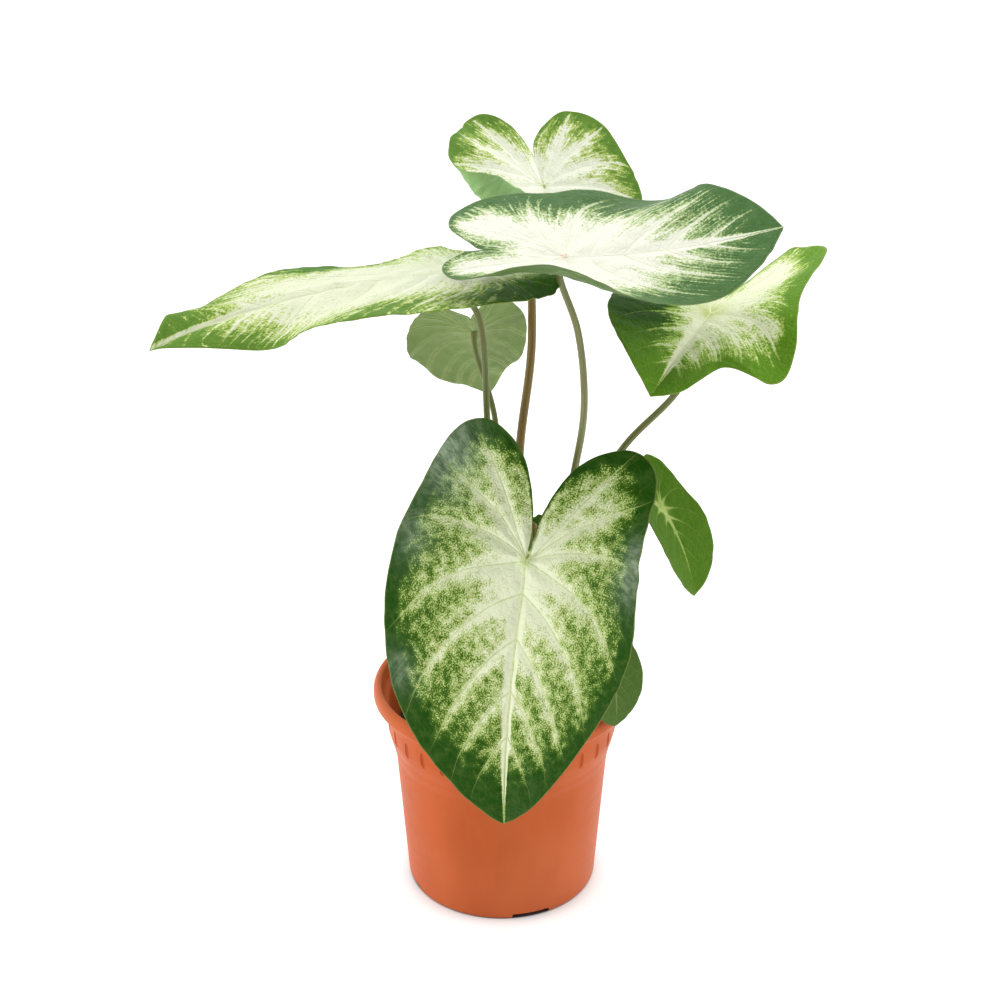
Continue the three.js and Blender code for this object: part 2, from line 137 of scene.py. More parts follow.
# The markings of each leaf. white gives the share of white between the veins at shares of the way to
# the margin, tip the places along the midrib where that share falls off and by how much. vein,
# vein_reach and vein_end are how far the white follows the lateral veins on their tip side, behind is
# the share of that reach on their other side, dip is how much greener it is midway between two veins,
# midrib is how wide the white follows the midrib, fine is the white of the finest veins. grain, clump
# and streak break the white up. lighten and whiten are the shares where speckles begin and end to turn
# from green to speck and from speck to cream. depth is how dark the green turns away from the white,
# gloss how much the leaf shines. patches change white, shadows add painted shade to depth, and the
# sheen patches raise the gloss and paint a grey-green sheen, a painted reflection, into the colour,
# each around places (x, y, reach along x, reach along y, amount) of the flat leaf. spot is the colour
# at the junction and spot_size its radius in mm.
MARKING_DEFAULTS = dict(
    white=((0, 1.6), (0.2, 1.1), (0.4, 0.64), (0.6, 0.43), (0.75, 0.32), (0.87, 0.05), (0.94, -0.6),
           (1, -1)),
    tip=(0.6, 0.95, 0.5), vein=0.4, vein_reach=0.08, vein_end=(0.7, 0.95), behind=0.35, dip=0.2,
    midrib=0.045, fine=0, groove=0.5, lighten=(0.15, 0.45), whiten=(0.42, 1.05),
    grain=3, grain_scale=1.4, clump=1.4, streak=0.6, depth=1, gloss=0.05, patches=(), shadows=(), bloom=(),
    cream=(0.73, 0.76, 0.55), speck=(0.37, 0.47, 0.125), green=(0.06, 0.155, 0.006),
    dark=(0.012, 0.062, 0.001), under=(0.19, 0.28, 0.085), under_pale=(0.34, 0.43, 0.17),
    spot=(0.46, 0.58, 0.16), spot_size=2.5,
)
FEATHERED = dict(
    white=((0, 2.4), (0.35, 1.6), (0.5, 1), (0.65, 0.45), (0.8, 0.08), (0.92, -0.3), (1, -0.8)),
    vein=0.8, vein_reach=0.04, vein_end=(0.8, 1), behind=0.8, dip=0.35, fine=0.5, groove=0.1, midrib=0.08,
    lighten=(-0.1, 0.55), whiten=(0.4, 1.25), grain_scale=0.9, clump=1.1, streak=1.8, depth=0.8, gloss=0.08,
)
MARKINGS = {
    "front": dict(
        bloom=((-0.32, -0.34, 0.16, 0.11, 0.6), (0.02, -0.44, 0.1, 0.08, 0.3), (0.5, -0.42, 0.07, 0.07, 0.3),
               (-0.12, 0.45, 0.12, 0.07, 0.5)),
        patches=((-0.3, 0.2, 0.16, 0.1, 0.35), (-0.3, -0.16, 0.14, 0.08, 0.35))),
    "crown": dict(
        FEATHERED, tip=(0.6, 1, 0.3),
        patches=((-0.37, -0.2, 0.15, 0.09, 1.5), (-0.36, 0.18, 0.15, 0.11, 1.4),
                 (0.2, -0.3, 0.25, 0.15, 0.5), (0.1, 0.42, 0.4, 0.12, -0.5), (0.45, -0.4, 0.3, 0.12, -0.5)),
        cream=(0.86, 0.87, 0.74), speck=(0.44, 0.56, 0.24), green=(0.12, 0.225, 0.075),
        dark=(0.052, 0.138, 0.036), under=(0.11, 0.18, 0.055), under_pale=(0.22, 0.31, 0.12),
        spot=(0.75, 0.12, 0.1), spot_size=1.2),
    "top": dict(
        FEATHERED, tip=(0.6, 0.9, 0.6),
        white=((0, 2.2), (0.4, 1.6), (0.6, 1.1), (0.75, 0.7), (0.88, 0.25), (0.95, -0.3), (1, -0.8)),
        vein=0.9, vein_reach=0.045, vein_end=(0.9, 1.05), dip=0.65, clump=1.8,
        depth=0.5, cream=(0.93, 0.95, 0.8), speck=(0.5, 0.62, 0.15), green=(0.19, 0.35, 0.055),
        dark=(0.07, 0.19, 0.022), under=(0.3, 0.5, 0.2), under_pale=(0.4, 0.6, 0.28)),
    "left": dict(
        white=((0, 2.2), (0.5, 1.5), (0.75, 1.15), (0.9, 0.75), (1, 0.2)), tip=(0.55, 1, 1.25),
        patches=((-0.25, 0.36, 0.32, 0.15, -2.4), (0.12, 0.42, 0.22, 0.07, -0.6),
                 (0.42, 0.42, 0.14, 0.08, -1), (0.3, -0.45, 0.12, 0.1, -2.6)),
        shadows=((-0.25, 0.36, 0.35, 0.2, 1), (0.3, -0.45, 0.2, 0.15, 0.6)),
        grain=3.4, grain_scale=0.75, clump=1.2, streak=2.2, lighten=(-0.1, 0.5), whiten=(0.4, 1.2),
        vein=0.6, vein_reach=0.03, fine=0.8, groove=0.12, midrib=0.022, depth=0.3, gloss=0.02,
        cream=(0.71, 0.74, 0.55), speck=(0.42, 0.54, 0.13), green=(0.15, 0.27, 0.05),
        dark=(0.048, 0.165, 0.004)),
    "right": dict(
        white=((0, 1.8), (0.3, 1.2), (0.5, 0.85), (0.68, 0.45), (0.8, 0), (0.9, -0.6), (1, -1)),
        tip=(0.6, 0.95, 0.9),
        patches=((0.4, -0.34, 0.45, 0.24, -1.9), (-0.34, 0.2, 0.2, 0.1, 1.3), (0.17, 0.4, 0.06, 0.08, 0.8)),
        shadows=((0.25, -0.34, 0.34, 0.28, 1.4),),
        grain=3.4, grain_scale=1, clump=1.6, streak=1.8, lighten=(-0.1, 0.5), whiten=(0.4, 1.2),
        vein=0.8, vein_reach=0.035, behind=0.8, fine=0.4, groove=0.15, midrib=0.075, depth=0.1, gloss=0.02,
        cream=(0.84, 0.87, 0.64), speck=(0.46, 0.6, 0.14), green=(0.15, 0.33, 0.022),
        dark=(0.018, 0.08, 0.001), spot=(0.5, 0.58, 0.16), spot_size=7),
    "back": dict(),
    "small_right": dict(
        white=((0, 0.9), (0.2, 0), (0.4, -0.7), (1, -1.2)), grain=1.2, clump=0.5, streak=0.8,
        vein=0.9, vein_reach=0.03, vein_end=(0.2, 0.8), behind=1, midrib=0.035, depth=0.8,
        cream=(0.5, 0.6, 0.22), speck=(0.32, 0.44, 0.1), green=(0.12, 0.25, 0.012),
        dark=(0.065, 0.165, 0.006)),
    "small_low": dict(
        white=((0, 0.6), (0.2, -0.4), (1, -1)), grain=1, clump=0.4, streak=0.5,
        vein=0.6, vein_reach=0.02, behind=1, midrib=0.03,
        cream=(0.28, 0.36, 0.15), speck=(0.2, 0.28, 0.09), green=(0.105, 0.18, 0.035),
        dark=(0.075, 0.145, 0.026)),
    "small_centre": dict(
        white=((0, 0.8), (0.3, 0.1), (0.6, -0.5), (1, -1)),
        cream=(0.4, 0.48, 0.22), green=(0.09, 0.17, 0.03), dark=(0.045, 0.11, 0.012)),
}
VEIN_GREEN = (0.46, 0.58, 0.16)
PAINTED_SHEEN = (0.42, 0.52, 0.36)
STALK_OLIVE = (0.135, 0.168, 0.035)
STALK_PALE = (0.205, 0.220, 0.080)
STALK_BROWN = (0.235, 0.150, 0.040)
STALK_RED = (0.42, 0.07, 0.025)
SHEATH = (0.30, 0.27, 0.13)
STALK_LOOKS = {"front": STALK_BROWN, "top": STALK_BROWN, "crown": STALK_PALE, "right": STALK_PALE}

# Blade, relief and veins
BLADE_THICKNESS = 0.5
VALLEY_WIDTH = 2.6
CRINKLES = (12, 40)
RIPPLE_HEIGHT = 0.7
QUILT_HEIGHT = 0.05
QUILT_LENGTHS = (7, 14)
MIDRIB_WIDTH = 1.1
MIDRIB_WHITE = 0.006
VEIN_WIDTH = 0.75
VEIN_SAMPLES = 60
FLOW_SPACING = 15
FINEST_VEINS = 5
CLUMP_SCALE = 0.22
STREAK_SCALE = (1.2, 0.13, 1)
# Material slots of a leaf, and its ribs: their slot, side of the blade, and shares of width and height
UPPER, LOWER, UPPER_VEINS, LOWER_VEINS = range(4)
RIBS = ((UPPER_VEINS, 1, 0.75, 0.16), (LOWER_VEINS, -1, 1.15, 0.75))
RIB_SIDES = 8
RIB_LEAST_HEIGHT = 0.03
# Shares of the way along a vein, and of the way to the margin, where the ribs end
MIDRIB_END, VEIN_END, RIB_LIMIT = 0.995, 0.93, 0.985

# Stalks
SOIL_TOP = 86
TUBER_TOP = 66
SEAT_GAP = 0.3
NECK_LENGTH = 8
STALK_END = 0.9
STRAIGHT_BELOW_SOIL_TOP = 10
STRAIGHT_ABOVE_SOIL_TOP = 1
STALK_SIDES = 20
STALK_STEPS = 110
STALK_BASE, STALK_TAPER, STALK_FLARE, STALK_FLATNESS = 1.18, 0.3, 0.45, 0.96
FLUSH_LENGTH = 12
SHEATH_LENGTH, SHEATH_FADE = 22, 16
SKIN_RADIUS = 3

# Pot
POT_SIDES = 240
POT_HEIGHT = 104
RIM_RADIUS = 60
BASE_RADIUS = 45
FLOOR_TOP = 4.5
FLOOR_RECESS = 3
CENTRE_DISC_RADIUS = 14
FOOT_RING_INNER = 36
CORNER_RADIUS = 0.9
SHARP_ANGLE = 38
NOTCH = SimpleNamespace(
    count=4, first_angle=-72, width=19, height=2.7, bottom=-5, taper=0.5, rounding=0.6,
    reach=(FOOT_RING_INNER - 3, BASE_RADIUS + 3))
DRAIN_HOLE = SimpleNamespace(count=8, radius=3.5, circle=25, ends=(-4, 9), sides=48)
RECESS = SimpleNamespace(
    count=30, half_width=1.5, half_height=4.2, depth=0.75, radius=53.5, middle=84, lean=0.075,
    steps=13, sides=16, ends=0.96)
CUTTER_EXCESS = 0.3
PLASTIC = (0.505, 0.095, 0.018)

# Soil and tuber. The soil's level sinks towards the wall, and clods are (size, height, octaves).
SOIL_RADIUS = 50.6
SOIL_RINGS, SOIL_SPOKES = 70, 200
SOIL_LEVEL, SOIL_SLOPE, SOIL_DROP, SOIL_REACH = SOIL_TOP - 0.4, 2.6, 7, 52
CLODS = ((9, 1, 3), (2.2, 0.45, 2))
TUBER_SIDES = 64
CRUMBS, CRUMB_REACH = 620, 51
LEAST_CRUMB, CRUMB_RANGE = 0.5, 1.5
SEED = 11
# A texture is its scale, detail and roughness, and its turn is where it begins and ends to show.
# relief is its depth in metres and its strength.
EARTH = {
    "potting_soil": dict(
        roughness=0.92, broad=(160, 3), broad_turn=(0.3, 0.7), fine=(900, 4, 0.7), fine_turn=(0.6, 0.8),
        shades=((0.012, 0.007, 0.004), (0.045, 0.025, 0.014), (0.10, 0.058, 0.03)), relief=(0.0006, 0.9)),
    "soil_crumbs": dict(
        roughness=0.9, broad=(320, 1), broad_turn=(0.35, 0.65), fine=(1800, 3),
        fine_turn=(0.55, 0.75, 0, 0.6), relief=(0.0003, 0.8),
        shades=((0.018, 0.010, 0.006), (0.075, 0.042, 0.022), (0.13, 0.08, 0.045))),
    "tuber_skin": dict(
        roughness=0.8, stretch=(0.2, 0.2, 3), broad=(300, 3), broad_turn=(0.35, 0.65),
        fine=(500, 4), fine_turn=(0.5, 0.75), relief=(0.0005, 0.7),
        shades=((0.09, 0.042, 0.018), (0.22, 0.12, 0.055), (0.30, 0.19, 0.10))),
}

# Camera in mm, lights and the floor's glow in metres. SKY is its strength at two places along Y.
SKY = (-0.7, 0.5, 0.35, 1.1)
SOFTBOXES = (
    ("softbox_top", (0.1, 1.0, 3.2), (0, 0.6, 0), (4.5, 4.5), 60),
    ("softbox_left", (-1.5, -0.35, 0.75), (0, 0, 0.15), (1.0, 1.4), 12),
    ("softbox_right", (1.5, -0.3, 0.7), (0, 0, 0.15), (0.9, 1.3), 7),
)
FLOOR_REACH = 9000
FLOOR_GLOW = 0.5
# Where the floor's glow fades in away from the pot: the fade is a painted shadow round the pot's foot.
FLOOR_GLOW_FROM = (0.036, 0.053)
# The floor's colour under the pot, a painted shadow.
PAINTED_SHADOW_UNDER_POT = (0.10, 0.09, 0.085)
CAMERA_PLACE = (-0.83, -813.2, 574.4)
CAMERA_PITCH = 24.94
CAMERA_LENS = 72
SENSOR = 36


def spline(points, t):
    """A uniform Catmull-Rom curve through points, t from 0 to 1."""
    last = len(points) - 1
    place = np.clip(np.asarray(t, float) * last, 0, last - 1e-9)
    i = place.astype(int)
    f = (place - i)[:, None]
    p0, p1, p2, p3 = (points[np.clip(i + k, 0, last)] for k in (-1, 0, 1, 2))
    return 0.5 * (2 * p1 + (p2 - p0) * f + (2 * p0 - 5 * p1 + 4 * p2 - p3) * f**2
                  + (3 * p1 - p0 - 3 * p2 + p3) * f**3)


def smoothstep(low, high, value):
    share = np.clip((value - low) / (high - low), 0, 1)
    return share * share * (3 - 2 * share)


def sinc(angle):
    return np.sinc(angle / np.pi)


def nearness(t, place, spread):
    return np.exp(-(((t - place) / spread) ** 2))


def rotated(x, y, angle):
    return x * np.cos(angle) - y * np.sin(angle), x * np.sin(angle) + y * np.cos(angle)


def unit(vectors):
    return vectors / np.maximum(np.linalg.norm(vectors, axis=1), 1e-12)[:, None]


def outline(leaf):
    points = HALF_OUTLINE.copy()
    points[0] = -leaf.sinus, 0
    points[1] = -(leaf.sinus + SINUS_MOUTH) / 2, SINUS_HALF_WIDTH
    return points


def blade_points(leaf, side, t, s):
    """Points of the blade's middle surface in the leaf's own frame, in mm: +X tip, +Y left, +Z up.
    t runs along one half of the margin from sinus to tip, s from the junction to the margin."""
    length = leaf.length
    edge = spline(outline(leaf), t)
    x = s * edge[:, 0] * np.where(edge[:, 0] < 0, leaf.lobes, leaf.tip)
    y = s * edge[:, 1] * np.where(side > 0, *leaf.width)
    lift = np.zeros(len(x))
    for on_side, place, spread, rise, reach in leaf.ripples:
        weight = nearness(t, place, spread) * s**2 * (side == on_side)
        lift += rise * weight
        x = x * (1 + reach * weight)
        y = y * (1 + reach * weight)
    for on_side, place, spread, start, turn in leaf.rolls:
        rate = math.radians(turn) * nearness(t, place, spread) / (1 - start) + 1e-9
        angle = rate * np.maximum(s - start, 0)
        rolled = (side == on_side) & (s > start)
        reach = np.maximum(s, 1e-9)
        lift += np.where(rolled, np.hypot(x, y) / reach * (1 - np.cos(angle)) / rate, 0)
        shrink = np.where(rolled, (start + np.sin(angle) / rate) / reach, 1)
        x = x * shrink
        y = y * shrink

    fold, curl = (np.radians(np.where(side > 0, *pair)) for pair in (leaf.fold, leaf.curl))
    slope = fold + curl * y
    chord = y * length * sinc(curl * y)
    twist = math.radians(leaf.twist) * x
    across, up = rotated(side * chord * np.cos(slope), chord * np.sin(slope) + lift * length, twist)

    tip_bend, lobe_bend = leaf.bend
    bend = np.radians(np.where(x >= 0, tip_bend, -lobe_bend)) * x
    along = x * length * sinc(bend / 2)
    in_tip = np.clip(x, 0, 1)
    return np.column_stack([
        along * np.cos(bend / 2) + up * np.sin(bend),
        across + leaf.sweep * in_tip * (1 - in_tip) * length,
        -along * np.sin(bend / 2) + up * np.cos(bend),
    ])


def turn_matrix(leaf):
    heading, pitch, roll = np.radians(leaf.turn)
    return np.array(Euler((roll, -pitch, heading)).to_matrix())


def vein_curves(leaf):
    """The lateral veins as dense curves, with the sinus before them and the tip after them."""
    steps = np.linspace(0, 1, VEIN_SAMPLES)
    seam = np.column_stack([-leaf.sinus * steps, 0 * steps])
    sinus = np.concatenate([seam, spline(outline(leaf), 0.2 * steps)[1:]])
    tip = np.repeat([[1.0, 0.0]], VEIN_SAMPLES, axis=0) + 1e-3 * steps[:, None]
    return [sinus, *(spline(route, steps) for route in VEINS), tip]


def vein_field(x, y, curves):
    """For flat points of one half: the place among the veins as a number that is whole on a vein,
    and the width of the gap between the two veins around the point."""
    points = np.column_stack([x, y])
    rows = np.arange(len(points))
    distances = []
    sides = []
    for curve in curves:
        apart = points[:, None] - curve[None]
        squared = (apart**2).sum(axis=2)
        nearest = squared.argmin(axis=1)
        offset = apart[rows, nearest]
        tangent = np.gradient(curve, axis=0)[nearest]
        distances.append(np.sqrt(squared[rows, nearest]))
        sides.append(np.where(tangent[:, 0] * offset[:, 1] - tangent[:, 1] * offset[:, 0] < 0, 1, -1))
    distances = np.array(distances)
    nearest = distances[1:-1].argmin(axis=0) + 1
    own = distances[nearest, rows]
    step = np.array(sides)[nearest, rows]
    gap = own + distances[nearest + step, rows]
    return nearest + step * own / (gap + 1e-9), gap


def flat_to_wheel(leaf, x, y):
    """Flat points to the turn round the margin, 0 to 1 on the left and 1 to 2 on the right, and s."""
    t = np.linspace(0, 1, 2001)
    edge = spline(outline(leaf), t)
    angle = np.arctan2(edge[:, 1], edge[:, 0])
    order = np.argsort(angle)
    towards = np.arctan2(np.abs(y), x)
    reach = np.interp(towards, angle[order], np.hypot(edge[:, 0], edge[:, 1])[order])
    t = np.interp(towards, angle[order], t[order])
    return np.where(y >= 0, t, 2 - t), np.hypot(x, y) / reach


def ring_walls(rings, sides):
    """Quads between rings of points, one ring after another."""
    ring, side = (a.ravel() for a in np.meshgrid(np.arange(rings - 1), np.arange(sides), indexing="ij"))
    here = ring * sides
    there = here + sides
    following = (side + 1) % sides
    return np.column_stack([here + side, here + following, there + following, there + side])


def closed_walls(rings, sides):
    """The faces of a closed tube of rings: its walls, start and end."""
    start = np.arange(sides)[None, ::-1]
    end = np.arange(sides)[None] + (rings - 1) * sides
    return [ring_walls(rings, sides), start, end]


class Blade:
    """The fine surface of one leaf, as a wheel of spokes and rings."""

    def __init__(self, leaf, marking, curves, rng):
        self.leaf = leaf
        self.marking = marking
        self.spokes = leaf.spokes
        self.rings = leaf.rings
        turn = np.arange(self.spokes) * 2 / self.spokes
        ring = np.arange(1, self.rings + 1) / self.rings
        self.turn = np.concatenate([[0.5], np.tile(turn, self.rings)])
        self.side = np.where(self.turn <= 1, LEFT, RIGHT)
        self.t = np.minimum(self.turn, 2 - self.turn)
        self.s = np.concatenate([[0], np.repeat(ring, self.spokes)])
        edge = spline(outline(leaf), self.t)
        self.x = self.s * edge[:, 0]
        self.y = self.s * edge[:, 1] * self.side
        outwards = np.hypot(edge[:, 0], edge[:, 1]) * leaf.length
        self.to_margin = (1 - self.s) * outwards

        self.order, self.gap = vein_field(self.x + leaf.shear * self.y, np.abs(self.y), curves)
        to_lateral = np.abs(self.order - np.round(self.order)) * self.gap
        self.to_vein = np.minimum(to_lateral, np.where(self.x > 0, np.abs(self.y), np.hypot(self.x, self.y)))
        wavy = self.crinkle(rng) * smoothstep(0.75, 1, self.s) / outwards
        local = blade_points(leaf, self.side, self.t, self.s * (1 + wavy))
        self.points = np.array(leaf.junction) + local @ turn_matrix(leaf).T
        self.faces = self.wheel_faces()
        self.normals = self.vertex_normals()
        self.points = self.points + self.normals * self.relief(rng)[:, None]
        self.normals = self.vertex_normals()
        self.white = self.whiteness()

    def at(self, ring, spoke):
        return 1 + (ring - 1) * self.spokes + (spoke % self.spokes)

    def wheel_faces(self):
        spoke = np.arange(self.spokes)
        centre = np.column_stack([0 * spoke, self.at(1, spoke + 1), self.at(1, spoke)])
        return centre, 1 + ring_walls(self.rings, self.spokes)

    def vertex_normals(self):
        centre, quads = self.faces
        triangles = np.concatenate([centre, quads[:, [0, 1, 2]], quads[:, [0, 2, 3]]])
        a, b, c = (self.points[triangles[:, k]] for k in range(3))
        across = np.cross(b - a, c - a)
        normals = np.zeros_like(self.points)
        for k in range(3):
            np.add.at(normals, triangles[:, k], across)
        return unit(normals)

    def wave(self, count, phase):
        """count half waves round each half of the margin, dying out at the sinus and the tip."""
        return np.sin(np.pi * count * self.turn + phase) * np.sin(np.pi * self.t) ** 0.5

    def crinkle(self, rng):
        """How far in mm the margin strays from its smooth line."""
        waves = [self.wave(count, rng.uniform(0, 2 * np.pi)) for count in rng.integers(*CRINKLES, 9)]
        return self.leaf.crinkle * sum(waves) / len(waves) ** 0.5

    def relief(self, rng):
        """Height over the plain blade in mm: valleys along the veins, quilting and a wavy margin."""
        length = self.leaf.length
        size = length / 100
        valley = np.exp(-((self.to_vein * length / (VALLEY_WIDTH * size**0.5)) ** 2))
        fade = 1 - 0.7 * smoothstep(0.5, 1, self.s)
        height = -self.leaf.valley * size * valley * fade * smoothstep(0, 0.1, self.s)
        for _ in range(9):
            turn, phase = rng.uniform(0, 2 * np.pi, 2)
            wave = 2 * np.pi / (rng.uniform(*QUILT_LENGTHS) * size**0.5)
            run = (self.x * np.cos(turn) + self.y * np.sin(turn)) * length
            height += QUILT_HEIGHT * size * np.sin(run * wave + phase)
        outwards = smoothstep(0.55, 1, self.s) ** 2
        for _ in range(5):
            count = rng.integers(4, 13)
            wave = self.wave(count, rng.uniform(0, 2 * np.pi))
            height += RIPPLE_HEIGHT * size / count**0.5 * outwards * wave
        return height

    def spots(self, places):
        """The sum of soft places (x, y, reach along x, reach along y, amount)."""
        total = np.zeros(len(self.x))
        for x, y, along, across, amount in places:
            total += amount * np.exp(-(((self.x - x) / along) ** 2) - ((self.y - y) / across) ** 2)
        return total

    def whiteness(self):
        """The share of white between the veins: under 0 is plain green, over 1 plain white."""
        places, shares = zip(*self.marking.white)
        start, end, drop = self.marking.tip
        base = np.interp(self.s, places, shares) - drop * smoothstep(start, end, self.x)
        return base + self.spots(self.marking.patches)

    def values(self):
        """What the materials read at each point. veins: place among the lateral veins, gap between two
        of them and way from the midrib. pull: how strongly and how far the white follows the lateral
        veins, and how far the midrib. tone: how dark the green may turn, painted shade included, and
        where a grey-green sheen is painted and the gloss raised. In mm."""
        marking, length = self.marking, self.leaf.length
        off_midrib = np.hypot(np.minimum(self.x, 0), self.y) * length
        strength = marking.vein * (1 - smoothstep(*marking.vein_end, self.s))
        reach = marking.vein_reach * (1 - 0.75 * self.s) * length
        midrib = (marking.midrib * (1 - np.clip(self.x, 0, 1)) + MIDRIB_WHITE) * length
        # The shadow patches add painted shade to how dark the green turns.
        depth = np.clip(marking.depth + self.spots(marking.shadows), 0, 1)
        # Where a grey-green sheen, a painted reflection, goes into the colour and the gloss is raised.
        bloom = np.clip(self.spots(marking.bloom), 0, 1)
        return dict(
            white=self.white,
            flat=np.column_stack([self.x, self.y, 0 * self.x]) * length,
            veins=np.column_stack([self.order, self.gap * length, off_midrib]),
            pull=np.column_stack([strength, reach, np.where(self.x > -0.02, midrib, 0.01)]),
            tone=np.column_stack([depth, bloom, 0 * depth]),
            edge=self.to_margin,
            spot=np.exp(-((np.hypot(self.x, self.y) * length / marking.spot_size) ** 2)),
        )

    def sample(self, values, x, y):
        """values, one for each point of the wheel, at flat points."""
        turn, s = flat_to_wheel(self.leaf, x, y)
        spoke = turn * self.spokes / 2
        ring = np.clip(s * self.rings, 0, self.rings - 1e-6)
        i, j = ring.astype(int), np.floor(spoke).astype(int)
        f, g = ring - i, spoke - j
        if values.ndim > 1:
            f, g = f[:, None], g[:, None]

        def pick(ring, spoke):
            return values[np.where(ring == 0, 0, self.at(np.maximum(ring, 1), spoke))]

        inner = pick(i, j) * (1 - g) + pick(i, j + 1) * g
        outer = pick(i + 1, j) * (1 - g) + pick(i + 1, j + 1) * g
        return inner * (1 - f) + outer * f


class Mesh:
    """Gathers points, faces, a material for each face and named values for each point."""

    def __init__(self):
        self.points = []
        self.faces = []
        self.slots = []
        self.values = {}
        self.count = 0

    def add(self, points, faces, slot=0, **values):
        """The first call names the values. Those that a later call leaves out are 0 there."""
        self.points.append(np.asarray(points, float))
        for group in faces:
            self.faces.extend((np.asarray(group) + self.count).tolist())
            self.slots.extend([slot] * len(group))
        for name, value in values.items():
            self.values.setdefault(name, []).append(value)
        for chunks in self.values.values():
            if len(chunks) < len(self.points):
                chunks.append(np.zeros((len(points), *chunks[0].shape[1:])))
        self.count += len(points)

    def build(self, name, materials, smooth_angle=None):
        """A Blender object in metres from the gathered millimetres."""
        mesh = bpy.data.meshes.new(name)
        mesh.from_pydata((np.concatenate(self.points) * MM).tolist(), [], self.faces)
        for material in materials:
            mesh.materials.append(material)
        mesh.polygons.foreach_set("material_index", self.slots)
        mesh.polygons.foreach_set("use_smooth", [True] * len(self.faces))
        for label, chunks in self.values.items():
            data = np.concatenate(chunks)
            vector = data.ndim > 1
            attribute = mesh.attributes.new(label, "FLOAT_VECTOR" if vector else "FLOAT", "POINT")
            attribute.data.foreach_set("vector" if vector else "value", data.astype(np.float32).ravel())
        mesh.update()
        if smooth_angle is not None:
            mesh.set_sharp_from_angle(angle=math.radians(smooth_angle))
        piece = bpy.data.objects.new(name, mesh)
        bpy.context.scene.collection.objects.link(piece)
        return piece


def tube(line, across, over, widths, heights, sides):
    """A closed tube along line. across and over are its section's two directions."""
    across, over = (np.broadcast_to(way, line.shape)[:, None] for way in (across, over))
    widths, heights = (np.broadcast_to(size, len(line))[:, None, None] for size in (widths, heights))
    angles = np.arange(sides)[:, None] * 2 * np.pi / sides
    rings = line[:, None] + across * widths * np.cos(angles) + over * heights * np.sin(angles)
    return rings.reshape(-1, 3), closed_walls(len(line), sides)


# Sockets of a colour mix node
MIX_SHARE, MIX_FIRST, MIX_SECOND, MIX_RESULT = 0, 6, 7, 2


class Look:
    """A procedural material, or the world's, built node by node."""

    def __init__(self, name, owners=bpy.data.materials, shader="Principled BSDF", **constants):
        self.material = owners.new(name)
        self.material.use_nodes = True
        self.tree = self.material.node_tree
        self.shader = self.tree.nodes[shader]
        for socket, value in constants.items():
            self.shade(socket.replace("_", " "), value)

    def link(self, source, socket):
        """Sets a node's socket to a value or to another node's output."""
        if isinstance(source, bpy.types.NodeSocket):
            self.tree.links.new(source, socket)
        else:
            socket.default_value = (*source, 1) if socket.type == "RGBA" else source

    def shade(self, socket, source):
        self.link(source, self.shader.inputs[socket])

    def node(self, kind, inputs, output=0, **settings):
        """Adds a node, gives it its settings and inputs, and returns one of its outputs."""
        node = self.tree.nodes.new(f"ShaderNode{kind}")
        for name, value in settings.items():
            setattr(node, name, value)
        for socket, source in inputs.items():
            self.link(source, node.inputs[socket])
        return node.outputs[output]

    def value(self, name):
        return self.node("Attribute", {}, "Fac", attribute_name=name)

    def vector(self, name):
        return self.node("Attribute", {}, "Vector", attribute_name=name)

    def place(self):
        return self.node("TexCoord", {}, "Object")

    def scaled(self, vector, scale):
        return self.node("VectorMath", {0: vector, 1: scale}, operation="MULTIPLY")

    def noise(self, vector, scale, detail=2.0, roughness=0.5):
        inputs = dict(Vector=vector, Scale=scale, Detail=detail, Roughness=roughness)
        return self.node("TexNoise", inputs, "Fac")

    def cells(self, vector, scale):
        """Distance to the edges of small cells."""
        inputs = dict(Vector=vector, Scale=scale)
        return self.node("TexVoronoi", inputs, "Distance", feature="DISTANCE_TO_EDGE")

    def math(self, operation, a, b=0.0):
        return self.node("Math", {0: a, 1: b}, operation=operation)

    def plus(self, a, b):
        return self.math("ADD", a, b)

    def times(self, a, b):
        return self.math("MULTIPLY", a, b)

    def remap(self, value, low, high, to_low=0.0, to_high=1.0, smooth=True):
        inputs = {"Value": value, "From Min": low, "From Max": high, "To Min": to_low, "To Max": to_high}
        kind = "SMOOTHSTEP" if smooth else "LINEAR"
        return self.node("MapRange", inputs, "Result", interpolation_type=kind)

    def mix(self, share, a, b):
        """Mixes two colours."""
        inputs = {MIX_SHARE: share, MIX_FIRST: a, MIX_SECOND: b}
        return self.node("Mix", inputs, MIX_RESULT, data_type="RGBA")

    def parts(self, vector):
        return self.node("SeparateXYZ", {0: vector}, slice(0, 3))

    def broken(self, value, texture, amount):
        """Adds a texture about its middle to a value."""
        return self.plus(value, self.remap(texture, 0, 1, -amount / 2, amount / 2, False))

    def finished(self, colour, height, distance, strength):
        """Gives the shader its colour and relief, and returns the material."""
        self.shade("Base Color", colour)
        inputs = dict(Height=height, Distance=distance, Strength=strength)
        self.shade("Normal", self.node("Bump", inputs, "Normal"))
        return self.material


def shaded(colour, share):
    return tuple(channel * share for channel in colour)


def blended(a, b, share):
    return tuple((1 - share) * p + share * q for p, q in zip(a, b))


def vein_distances(look, flat, order, gap):
    """Distances in mm to the midrib, and to the midrib or a lateral vein, whichever is nearer."""
    off_midrib = look.math("ABSOLUTE", look.parts(flat)[1])
    to_lateral = look.times(look.math("PINGPONG", order, 0.5), gap)
    return off_midrib, look.math("MINIMUM", to_lateral, off_midrib)


